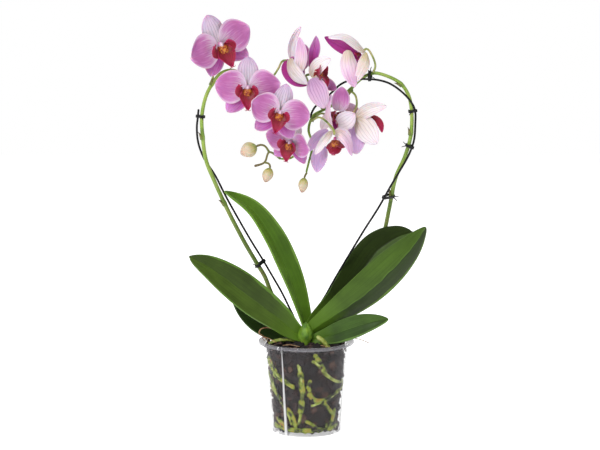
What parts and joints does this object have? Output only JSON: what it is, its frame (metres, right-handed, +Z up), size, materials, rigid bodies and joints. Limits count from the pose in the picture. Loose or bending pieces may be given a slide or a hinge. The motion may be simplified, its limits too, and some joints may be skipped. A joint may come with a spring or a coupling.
{
  "type": "potted orchid",
  "caption": "Moth orchid in a clear tapered pot: broad strap leaves, and flower spikes trained on wire hoops into a heart of pink flowers and buds.",
  "frame": {"origin": "centre of the pot's foot, on the plane that it stands on", "axes": "+Z up along the pot's axis, -Y towards the front, which the open flowers on the left face, +X to the right"},
  "size_m": [0.2981, 0.122, 0.5343],
  "materials": {
    "pot": "gloss",
    "bark": "matte",
    "crown": "satin",
    "leaf": "satin",
    "root": "satin",
    "dry_root": "matte",
    "spike": "satin",
    "wire": "satin",
    "clip": "satin",
    "sepal": "satin",
    "petal": "satin",
    "lip": "satin",
    "bud": "satin"
  },
  "bodies": {
    "root": {"pot": "pot", "bark": "bark", "crown": "crown", "leaf_left_tall": "leaf", "leaf_left_broad": "leaf", "leaf_left_low": "leaf", "leaf_right_back": "leaf", "leaf_right_front": "leaf", "leaf_right_low": "leaf", "root_1": "root", "root_2": "root", "root_3": "root", "root_4": "root", "root_5": "root", "air_root_right": "root", "air_root_left": "root", "air_root_loop": "dry_root", "spike_left": "spike", "spike_right": "spike", "wire_left": "wire", "wire_right": "wire", "clip_left_low": "clip", "clip_left_high": "clip", "clip_right_low": "clip", "clip_right_middle": "clip", "clip_right_high": "clip", "clip_top": "clip", "flower_1_sepals": "sepal", "flower_1_petals": "petal", "flower_1_lip": "lip", "flower_2_sepals": "sepal", "flower_2_petals": "petal", "flower_2_lip": "lip", "flower_3_sepals": "sepal", "flower_3_petals": "petal", "flower_3_lip": "lip", "flower_4_sepals": "sepal", "flower_4_petals": "petal", "flower_4_lip": "lip", "flower_5_sepals": "sepal", "flower_5_petals": "petal", "flower_5_lip": "lip", "flower_6_sepals": "sepal", "flower_6_petals": "petal", "flower_6_lip": "lip", "flower_7_sepals": "sepal", "flower_7_petals": "petal", "flower_7_lip": "lip", "flower_8_sepals": "sepal", "flower_8_petals": "petal", "flower_8_lip": "lip", "flower_9_sepals": "sepal", "flower_9_petals": "petal", "flower_9_lip": "lip", "flower_10_sepals": "sepal", "flower_10_petals": "petal", "flower_10_lip": "lip", "bud_1": "bud", "bud_2": "bud", "bud_3": "bud"}
  },
  "joints": []
}
